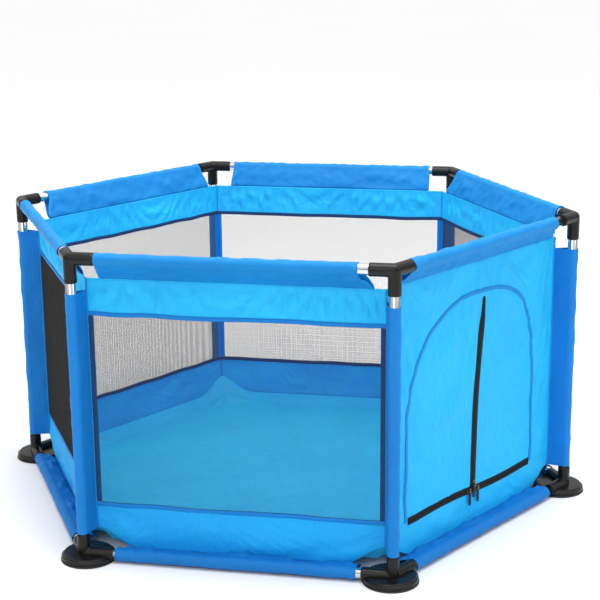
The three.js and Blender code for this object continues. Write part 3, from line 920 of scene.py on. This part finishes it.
def window_binding(k, side):
    """Navy tape folded round the edges of the net, with blue strips inside at its upright edges."""
    lift = way_out(k)
    along = np.array([*side_axes(k)[0], 0.0])
    pieces = []
    w = WALL_HALF - WINDOW_HALF + 0.0030
    half, low, high = WINDOW_HALF - 0.0030 + w / 2, WINDOW_LOW - 0.0005, WINDOW_HIGH + 0.0005
    upright = np.array([0.0, 0.0, 1.0])
    zs = np.linspace(low, high, 60)
    us = np.linspace(-half - w / 2, half + w / 2, 80)
    for hand, u in (("left", -half), ("right", half)):
        path = on_side(k, u + 0 * zs, WALL - 0.0006, zs)
        pieces.append(ribbon(f"binding_{hand}_{side}", path, along, w, 0.0013, finish("binding"), lift=lift))
        path = on_side(k, u + 0 * zs, WALL - 0.0008, zs)
        name = f"corner_strip_{hand}_{side}"
        # These inner strips take the upright sleeves' darker blue, which is painted shade.
        pieces.append(ribbon(name, path, along, w, 0.0008, finish("post"), lift=-lift))
    for hand, z in (("low", low), ("high", high)):
        for face, place, way, look in (("in", -0.0008, -1, "binding"), ("out", 0.0008, 1, "hem")):
            path = on_side(k, us, WALL + place, z + 0.0010 * waves(us, 0 * us, 50 + k, 0.12))
            name = f"binding_{hand}_{face}_{side}"
            pieces.append(ribbon(name, path, upright, 0.0085, 0.0011, finish(look), lift=lift * way))
    return pieces


def net(k, side):
    """The net as its own yarns, uprights and cross yarns, a little deeper than they are wide."""
    settings = bpy.context.scene.playpen_cover
    w, d = settings.net_yarn / 2, settings.net_depth / 2
    points, faces = [], []

    def yarn(corners):
        first = len(points)
        points.extend(corners)
        for j in range(4):
            a, b = first + j, first + (j + 1) % 4
            faces.append((a, b, b + 4, a + 4))

    for u in np.arange(-WINDOW_HALF, WINDOW_HALF, settings.net_pitch):
        square = [(u - w, -d), (u + w, -d), (u + w, d), (u - w, d)]
        yarn([tuple(on_side(k, a, WALL + b, z)) for z in (WINDOW_LOW, WINDOW_HIGH) for a, b in square])
    for z in np.arange(WINDOW_LOW, WINDOW_HIGH, settings.net_pitch):
        square = [(z - w, -d), (z + w, -d), (z + w, d), (z - w, d)]
        yarn([tuple(on_side(k, u, WALL + b, a)) for u in (-WINDOW_HALF, WINDOW_HALF) for a, b in square])
    made = new_object(f"net_{side}", points, faces, finish("net"), smooth=False)
    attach(made, ROOT)
    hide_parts(f"mesh_window_{side}")
    return made


def cover_piece(made, node):
    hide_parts(node)
    return made


def rail_sleeves(k, side):
    """The sleeves round the top and bottom rails of one side."""
    node = f"side_cover_{side}"
    cloth = bpy.context.scene.playpen_cover.cloth
    for level, seam, rail, ends, seed, puff in (
        ("top", SEAM_Z, TOP_Z, TOP_ENDS[side], 100 + 10 * k, 0.5),
        ("bottom", LOW_SEAM_Z, LOW_Z, LOW_ENDS[side], 200 + 10 * k, 1.4),
    ):
        points, length, width = sleeve_points(k, seam, rail, ends, seed, puff)
        # Top sleeves take the doubled blue and bottom sleeves the low sleeve blue, both darkened as painted
        # shade.
        made = cloth_grid(f"{level}_sleeve_{side}", points, finish("double" if level == "top" else "tunnel"))
        thicken(made, cloth)
        cover_piece(made, node)


class PLAYPEN_OT_walls(bpy.types.Operator):
    """Make the cloth and net of the five window sides"""

    bl_idname = "playpen.walls"
    bl_label = "Window sides"

    def execute(self, context):
        cloth = context.scene.playpen_cover.cloth
        for k, side in enumerate(SIDES):
            rail_sleeves(k, side)
            wall_stitches(k, side)
            if k == DOOR:
                continue
            node = f"side_cover_{side}"
            trims = window_binding(k, side) + [net(k, side)]
            high = band_points(k, WINDOW_HIGH, SEAM_Z, 300 + k, size=0.07)
            top = cloth_grid(f"top_band_{side}", high, finish("cloth"))
            low = band_points(k, LOW_SEAM_Z, WINDOW_LOW, 400 + k, rows=40, size=0.10, bulge=0.007, cut=True)
            # The bottom band is the same cloth as the top band in a darker blue, which is painted shade.
            bottom = cloth_grid(f"bottom_band_{side}", low, finish("low band"))
            for band, height in ((top, SEAM_Z - WINDOW_HIGH), (bottom, WINDOW_LOW - LOW_SEAM_Z)):
                thicken(band, cloth)
                cover_piece(band, node)
        return {"FINISHED"}


class PLAYPEN_OT_post_sleeves(bpy.types.Operator):
    """Make the sleeves round the uprights and the corner seams"""

    bl_idname = "playpen.post_sleeves"
    bl_label = "Upright sleeves"

    def execute(self, context):
        settings = context.scene.playpen_cover
        line, share, length = loop_profile(RADIUS - WALL_CORNER, 0.0, SLEEVE_R)
        outward = loop_outward(line, (RADIUS - WALL_CORNER, 0.0))
        away = np.minimum(share, 1 - share) * length
        for k, corner in enumerate(CORNERS):
            low, high = CORNER_LOW, POST_SLEEVE_TOP
            ends = np.arange(0, 0.0135, 0.0009)
            inner = np.linspace(low + 0.02, high - 0.02, 90)
            z = np.concatenate([low + ends, inner, high - ends[::-1]])[:, None]
            seed = 500 + 10 * k
            along = share[None, :] * length
            folds = waves(along, z, seed, 0.060, stretch=1.6) * 0.8
            folds = folds + waves(along, z, seed + 1, 0.022, stretch=2.4) * 0.3
            depth = settings.wrinkle * 0.36 * np.maximum(folds, -0.5) * ease(away / 0.012)[None, :]
            near_seam = np.exp(-away / 0.006)[None, :]
            gathers = np.sin(z / 0.009 * 2 * math.pi) * near_seam * settings.pucker * 0.4
            depth = depth + gathers + hem_relief(np.minimum(z - low, high - z))
            out = WALL_CORNER + line[:, 0][None, :] + depth * outward[:, 0][None, :]
            across = line[:, 1][None, :] + depth * outward[:, 1][None, :]
            points = at_corner(k, out, across, z + 0 * along)
            # The upright sleeves take a darker blue: painted shade, partly for the doubled cloth round the
            # tube.
            made = cloth_grid(f"upright_sleeve_{corner}", points, finish("post"), rows_run_up=True)
            thicken(made, settings.cloth)
            node = f"side_cover_{SIDES[k]}"
            cover_piece(made, node)
            seam_z = np.linspace(CORNER_LOW - 0.002, SEAM_Z, 120)
            ring = np.linspace(0, 2 * math.pi, 9)[:-1]
            r = 0.0019 + 0.0003 * np.sin(seam_z / 0.006 * 2 * math.pi)
            seam_out = WALL_CORNER + 0.0012 + r[:, None] * np.cos(ring)[None, :]
            seam_across = r[:, None] * np.sin(ring)[None, :]
            points = at_corner(k, seam_out, seam_across, seam_z[:, None] + 0 * ring[None, :])
            faces = grid_faces(120, 8, closed=True)
            seam = new_object(f"corner_seam_{corner}", points.reshape(-1, 3), faces, finish("seam"))
            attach(seam, ROOT)
            cover_piece(seam, node)
        return {"FINISHED"}


class PLAYPEN_OT_floor(bpy.types.Operator):
    """Make the cloth floor, which lies on the ground and rises at its edge"""

    bl_idname = "playpen.floor"
    bl_label = "Floor"

    def execute(self, context):
        settings = context.scene.playpen_cover
        rings = np.concatenate([np.linspace(0.0, 0.86, 60)[1:], np.linspace(0.865, 1.0, 34)])
        rows = []
        for share in rings:
            row = []
            for k in range(6):
                for t in np.linspace(-1, 1, 41)[:-1]:
                    u, out = WALL_HALF * t * share, WALL * share
                    rim = float(lower_edge(WALL_HALF * t)) - 0.0030
                    rise = ease((share - 0.90) / 0.10) * rim
                    corner = ease((abs(t) - 0.72) / 0.2) * ease((share - 0.86) / 0.04)
                    z = 0.0030 + max(rise, corner * (LOW_SEAM_Z - 0.0030))
                    row.append(on_side(k, u, out, z))
            rows.append(row)
        points = np.array(rows)
        x, y = points[..., 0], points[..., 1]
        lift = 0.5 + 0.5 * waves(x, y, 700, 0.16)
        creases = np.maximum(waves(x, y, 701, 0.05), 0)
        fade = ease((1 - rings) / 0.06)[:, None]
        points[..., 2] += settings.wrinkle * (0.9 * lift + 0.5 * creases) * fade
        count = points.shape[1]
        faces = grid_faces(len(rings), count, closed=True)
        flat = points.reshape(-1, 3)
        middle_point = [[0, 0, float(flat[:count, 2].mean())]]
        first = len(flat)
        faces = [tuple(reversed(face)) for face in faces]
        faces += [(first, j, (j + 1) % count) for j in range(count)]
        made = new_object("floor_cloth", np.vstack([flat, middle_point]), faces, finish("cloth"))
        layer = made.data.uv_layers.new(name="cloth")
        index = np.zeros(len(made.data.loops), np.int32)
        made.data.loops.foreach_get("vertex_index", index)
        layer.data.foreach_set("uv", np.vstack([flat, middle_point])[index][:, :2].ravel())
        thicken(made, settings.cloth)
        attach(made, ROOT)
        cover_piece(made, "floor_panel")
        return {"FINISHED"}


# ---- Door -------------------------------------------------------------------------------------


def zip_line(z):
    """Where the upright zip runs at height z: it leans, and wanders to the left half way up."""
    share = np.clip((z - SILL_Z) / (ZIP_TOP_Z - SILL_Z), 0, 1)
    return ZIP_LEAN * (z - SILL_Z) - 0.0075 * np.sin(math.pi * np.minimum(share / 0.9, 1) ** 1.3)


def sill_line(u):
    """Height of the bottom zip, which wanders up on the left and down on the right."""
    return SILL_Z - 0.0040 * np.sin(math.pi * np.clip(u / 0.205, -1, 1))


def door_relief(u, z):
    """One relief for the whole door wall, so that its pieces meet; the zips keep it calm."""
    side = ease((WALL_HALF - np.abs(u)) / 0.02)
    by_upright = np.exp(-(((u - zip_line(z)) / 0.020) ** 2)) * ease((ZIP_TOP_Z + 0.02 - z) / 0.02)
    by_end = ease((np.abs(u) - 0.15) / 0.03)
    by_sill = np.exp(-(((z - SILL_Z) / (0.018 + 0.024 * by_end)) ** 2))
    by_sill = by_sill * ease((DOOR_RIGHT + 0.04 - np.abs(u)) / 0.03)
    reach = np.hypot(u - ARCH_U, np.maximum(z - ARCH_SPRING, 0))
    by_arch = np.exp(-(((reach - ARCH_R) / 0.016) ** 2)) * 0.6
    broad = waves(u, z, 811, 0.24) * bpy.context.scene.playpen_cover.wrinkle * 0.5
    held = ease(np.minimum(z - LOW_SEAM_Z, SEAM_Z - z) / 0.05)
    folds = folds_between(u, z, LOW_SEAM_Z, SEAM_Z, 801, 0.13)
    zips = np.maximum(by_upright, by_sill)
    calm = np.maximum(0.97 * zips, 0.85 * by_arch)
    return (folds * (1 - calm) + broad * held * (1 - 0.9 * zips)) * side


def door_half(way):
    """Cloth from the zip to the corner and from the bottom zip to the top seam, on one hand."""
    rows = np.linspace(SILL_Z, SEAM_Z, 150)
    inner = zip_line(rows) + way * 0.0004 * (rows < ZIP_TOP_Z)
    t = np.linspace(0, 1, 90)
    u = inner[:, None] + (way * WALL_HALF - inner[:, None]) * t[None, :]
    z = rows[:, None] + (sill_line(u) + 0.0004 - SILL_Z) * ease((SILL_Z + 0.05 - rows[:, None]) / 0.05)
    return on_side(DOOR, u, WALL + door_relief(u, z), z)


def door_out(u, z):
    """The way out from the wall's middle surface at a place on the door."""
    return WALL + door_relief(np.asarray(u, float), np.asarray(z, float))


def chain(name, u, z, hand, width, body, node):
    """Half of a zip along a path on the door: a strip of tape and a row of coil turns."""
    lift = way_out(DOOR)
    path = on_side(DOOR, u, door_out(u, z) + 0.0004, z)
    step = np.gradient(path, axis=0)
    step /= np.linalg.norm(step, axis=1)[:, None]
    across = np.cross(lift, step) * hand
    width = np.broadcast_to(width, len(path))[:, None]
    middle_line = path + across * (0.0002 + width / 2)
    tape = ribbon(f"{name}_tape", middle_line, across, width, 0.0007, finish("zip"), body, lift)
    inner_line = middle_line - lift * 0.0010
    inner = ribbon(f"{name}_inner_tape", inner_line, across, width, 0.0005, finish("zip"), body, -lift)
    edge = path + across * (width - 0.0012) + lift * 0.0007
    row = stitches(f"{name}_stitching", [(edge, lift)], body, "coil")
    fine = np.concatenate([[0], np.cumsum(np.linalg.norm(np.diff(path, axis=0), axis=1))])
    turns = np.arange(0.001 + (0.0008 if hand > 0 else 0), fine[-1] - 0.001, 0.0016)
    points, faces = [], []
    for s in turns:
        at = np.array([np.interp(s, fine, path[:, i]) for i in range(3)])
        side = np.array([np.interp(s, fine, across[:, i]) for i in range(3)])
        go = np.array([np.interp(s, fine, step[:, i]) for i in range(3)])
        first = len(points)
        for x in (-0.0010, 0.0026):
            for y, h in ((-0.00042, 0.0003), (0.00042, 0.0003), (0.0003, 0.0016), (-0.0003, 0.0016)):
                points.append(at + side * x + go * y + lift * h)
        faces += [(first + j, first + (j + 1) % 4, first + 4 + (j + 1) % 4, first + 4 + j) for j in range(4)]
        faces += [(first + 3, first + 2, first + 1, first), (first + 4, first + 5, first + 6, first + 7)]
    coil = new_object(f"{name}_coil", points, faces, finish("coil"), smooth=False)
    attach(coil, body)
    for piece in (tape, inner, row, coil):
        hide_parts(node)


class PLAYPEN_OT_door_wall(bpy.types.Operator):
    """Make the door side's cloth, in a sill strip and two halves, with its arched seam"""

    bl_idname = "playpen.door_wall"
    bl_label = "Door side"

    def execute(self, context):
        settings = context.scene.playpen_cover
        node = "side_cover_door"
        u = np.linspace(-WALL_HALF, WALL_HALF, 160)[:, None]
        share = np.linspace(0, 1, 40)[None, :]
        z = lower_edge(u) + (sill_line(u) - 0.0004 - lower_edge(u)) * share
        points = on_side(DOOR, u + 0 * z, WALL + door_relief(u, z), z)
        sill = cloth_grid("door_sill_cloth", points, finish("cloth"))
        thicken(sill, settings.cloth)
        cover_piece(sill, node)
        for hand, way, edge in (("left", -1, DOOR_LEFT), ("right", 1, DOOR_RIGHT)):
            made = cloth_grid(f"door_cloth_{hand}", door_half(way), finish("cloth"), None, rows_run_up=True)
            thicken(made, settings.cloth).modifiers["Cloth"].use_rim = False
            fold = np.array([ZIP_TOP_U - edge, ZIP_TOP_Z - SILL_Z])
            fold /= np.linalg.norm(fold)
            normal = np.array([-fold[1], fold[0]]) * way
            normal = normal if normal[1] < 0 else -normal
            mid = np.array([(edge + ZIP_TOP_U) / 2, (SILL_Z + ZIP_TOP_Z) / 2])
            start, end = mid + normal * 0.0005, mid + normal * 0.016
            places = [tuple(float(c) for c in on_side(DOOR, p[0], WALL, p[1])) for p in (start, end)]
            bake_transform(made)
            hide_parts(node, f"door_flap_{hand}")
        angles = np.linspace(0, math.pi, 140)
        round_u, round_z = np.cos(angles), np.sin(angles)
        power = np.where(round_u > 0, 2 / 2.9, 1.0)
        round_u, round_z = np.sign(round_u) * np.abs(round_u) ** power, np.abs(round_z) ** power
        rise = np.linspace(SILL_Z, ARCH_SPRING, 41)
        u = ARCH_U + np.concatenate([np.full(40, ARCH_R), ARCH_R * round_u, np.full(40, -ARCH_R)])
        z = np.concatenate([rise[:-1], ARCH_SPRING + ARCH_R * round_z, rise[::-1][1:]])
        lift = way_out(DOOR)
        path = on_side(DOOR, u, door_out(u, z) + 0.0007, z)
        step = np.gradient(path, axis=0)
        across = np.cross(lift, step)
        across /= np.linalg.norm(across, axis=1)[:, None]
        arch = ribbon("door_arch_seam", path, across, 0.0085, 0.0010, finish("seam"), lift=lift)
        cover_piece(arch, node)
        rows = [(path + across * way * 0.0030 + lift * 0.0010, lift) for way in (-1, 1)]
        cover_piece(stitches("door_arch_stitching", rows), node)
        return {"FINISHED"}


class PLAYPEN_OT_zips(bpy.types.Operator):
    """Make the upright and the bottom zip"""

    bl_idname = "playpen.zips"
    bl_label = "Zips"

    def execute(self, context):
        z = np.linspace(SILL_Z + 0.0010, ZIP_TOP_Z - 0.001, 220)
        upright = 0.0044 + 0.0050 * ease((ZIP_TOP_Z - z) / 0.08)
        upright = np.minimum(upright, 0.0014 + 0.50 * (ZIP_TOP_Z - z))
        level = 0.0078
        for hand, way in (("left", -1), ("right", 1)):
            u = zip_line(z) + way * 0.0003
            chain(f"upright_zip_{hand}", u, z, -way, upright, f"{hand}_flap", f"flap_zip_{hand}")
            edge = DOOR_LEFT + 0.004 if way < 0 else DOOR_RIGHT - 0.012
            along = np.linspace(way * 0.0095, edge, 120)
            name = f"bottom_zip_upper_{hand}"
            chain(name, along, sill_line(along) + 0.0003, way, level, f"{hand}_flap", f"flap_zip_{hand}")
        along = np.linspace(DOOR_LEFT + 0.004, DOOR_RIGHT - 0.012, 240)
        chain("bottom_zip_lower", along, sill_line(along) - 0.0003, -1, level, ROOT, "sill_zip_tape")
        return {"FINISHED"}


class PLAYPEN_OT_zip_pulls(bpy.types.Operator):
    """Give the zip sliders and their pulls their finish and soft edges"""

    bl_idname = "playpen.zip_pulls"
    bl_label = "Sliders and pulls"

    def execute(self, context):
        for name in ("upright", "left", "right"):
            for part, look in (("slider", "slider"), ("pull", "pull")):
                node = frame["nodes"][f"{name}_zip_{part}"]
                node.data.materials.clear()
                node.data.materials.append(finish(look))
                for slot in node.material_slots:
                    slot.material = finish(look)
                edge = node.modifiers.new("Edges", "BEVEL")
                edge.width = 0.0003
                edge.segments = 2
                edge.limit_method = "ANGLE"
        return {"FINISHED"}


# ---- Stage ------------------------------------------------------------------------------------


class PLAYPEN_OT_stage(bpy.types.Operator):
    """Set the pale floor, the soft light and the camera"""

    bl_idname = "playpen.stage"
    bl_label = "Stage"

    def execute(self, context):
        settings = context.scene.playpen_stage
        far, low = 150.0, -0.0005
        corners = [(-far, -far, low), (far, -far, low), (far, far, low), (-far, far, low)]
        floor = new_object("stage_floor", corners, [(0, 1, 2, 3)], stage_material(), smooth=False)
        context.scene.view_settings.view_transform = "Standard"
        world = bpy.data.worlds.new("soft daylight")
        context.scene.world = world
        world.use_nodes = True
        tree = world.node_tree
        back = tree.nodes["Background"]
        back.inputs["Strength"].default_value = settings.daylight
        place = tree.nodes.new("ShaderNodeTexCoord")
        parts = tree.nodes.new("ShaderNodeSeparateXYZ")
        ramp = tree.nodes.new("ShaderNodeValToRGB")
        tree.links.new(place.outputs["Generated"], parts.inputs[0])
        tree.links.new(parts.outputs[2], ramp.inputs[0])
        tree.links.new(ramp.outputs[0], back.inputs["Color"])
        elements = ramp.color_ramp.elements
        elements.new(0.5)
        for element, (where, tone) in zip(elements, ((0.0, 0.10), (0.28, 0.55), (0.75, 1.0))):
            element.position = where
            element.color = (tone, tone, tone, 1)
        for name, at, size, power in (
            ("overhead", (0.35, -0.4, 3.6), 2.4, 85.0),
            ("right", (4.0, -1.6, 2.8), 1.6, 12.0),
            ("front", (-0.6, -4.6, 2.6), 2.0, 22.0),
        ):
            data = bpy.data.lights.new(name, "AREA")
            data.size = size
            data.energy = power
            lamp = bpy.data.objects.new(name, data)
            context.scene.collection.objects.link(lamp)
            lamp.location = at
            lamp.rotation_euler = (Vector((0, 0, 0.3)) - Vector(at)).to_track_quat("-Z", "Y").to_euler()
        data = bpy.data.cameras.new("camera")
        data.sensor_width = 36.0
        data.lens = settings.lens
        data.clip_end = 500.0
        camera = bpy.data.objects.new("camera", data)
        context.scene.collection.objects.link(camera)
        turn, tilt, roll = settings.turn, settings.tilt, settings.roll
        back = Vector((math.sin(turn) * math.cos(tilt), -math.cos(turn) * math.cos(tilt), math.sin(tilt)))
        right = (-back).cross(Vector((0, 0, 1))).normalized()
        up = right.cross(-back)
        level = right * math.cos(roll) + up * math.sin(roll)
        upright = -right * math.sin(roll) + up * math.cos(roll)
        matrix = Matrix((level, upright, back)).transposed().to_4x4()
        matrix.translation = Vector(settings.place)
        camera.matrix_world = matrix
        context.scene.camera = camera
        return {"FINISHED"}


# ---- Panel and registering --------------------------------------------------------------------

STEPS = (
    PLAYPEN_OT_tubes,
    PLAYPEN_OT_top_fittings,
    PLAYPEN_OT_feet,
    PLAYPEN_OT_walls,
    PLAYPEN_OT_post_sleeves,
    PLAYPEN_OT_floor,
    PLAYPEN_OT_door_wall,
    PLAYPEN_OT_zips,
    PLAYPEN_OT_zip_pulls,
    PLAYPEN_OT_stage,
)
GROUPS = (PlaypenCover, PlaypenFrame, PlaypenStage)


class PLAYPEN_PT_panel(bpy.types.Panel):
    bl_idname = "PLAYPEN_PT_panel"
    bl_label = "Playpen"
    bl_space_type = "VIEW_3D"
    bl_region_type = "UI"
    bl_category = "Playpen"

    def draw(self, context):
        layout = self.layout
        for step in STEPS:
            layout.operator(step.bl_idname)
        for group in ("playpen_cover", "playpen_frame", "playpen_stage"):
            settings = getattr(context.scene, group)
            for name in settings.bl_rna.properties.keys():
                if name not in ("rna_type", "name"):
                    layout.prop(settings, name)


def register():
    for group in GROUPS:
        bpy.utils.register_class(group)
    bpy.types.Scene.playpen_cover = PointerProperty(type=PlaypenCover)
    bpy.types.Scene.playpen_frame = PointerProperty(type=PlaypenFrame)
    bpy.types.Scene.playpen_stage = PointerProperty(type=PlaypenStage)
    for step in (*STEPS, PLAYPEN_PT_panel):
        bpy.utils.register_class(step)


def unregister():
    for step in reversed((*STEPS, PLAYPEN_PT_panel)):
        bpy.utils.unregister_class(step)
    del bpy.types.Scene.playpen_stage
    del bpy.types.Scene.playpen_frame
    del bpy.types.Scene.playpen_cover
    for group in reversed(GROUPS):
        bpy.utils.unregister_class(group)


def main():
    register()
    bpy.ops.playpen.tubes()
    bpy.ops.playpen.top_fittings()
    bpy.ops.playpen.feet()
    bpy.ops.playpen.walls()
    bpy.ops.playpen.post_sleeves()
    bpy.ops.playpen.floor()
    bpy.ops.playpen.door_wall()
    bpy.ops.playpen.zips()
    bpy.ops.playpen.zip_pulls()
    bpy.ops.playpen.stage()


if __name__ == "__main__":
    main()
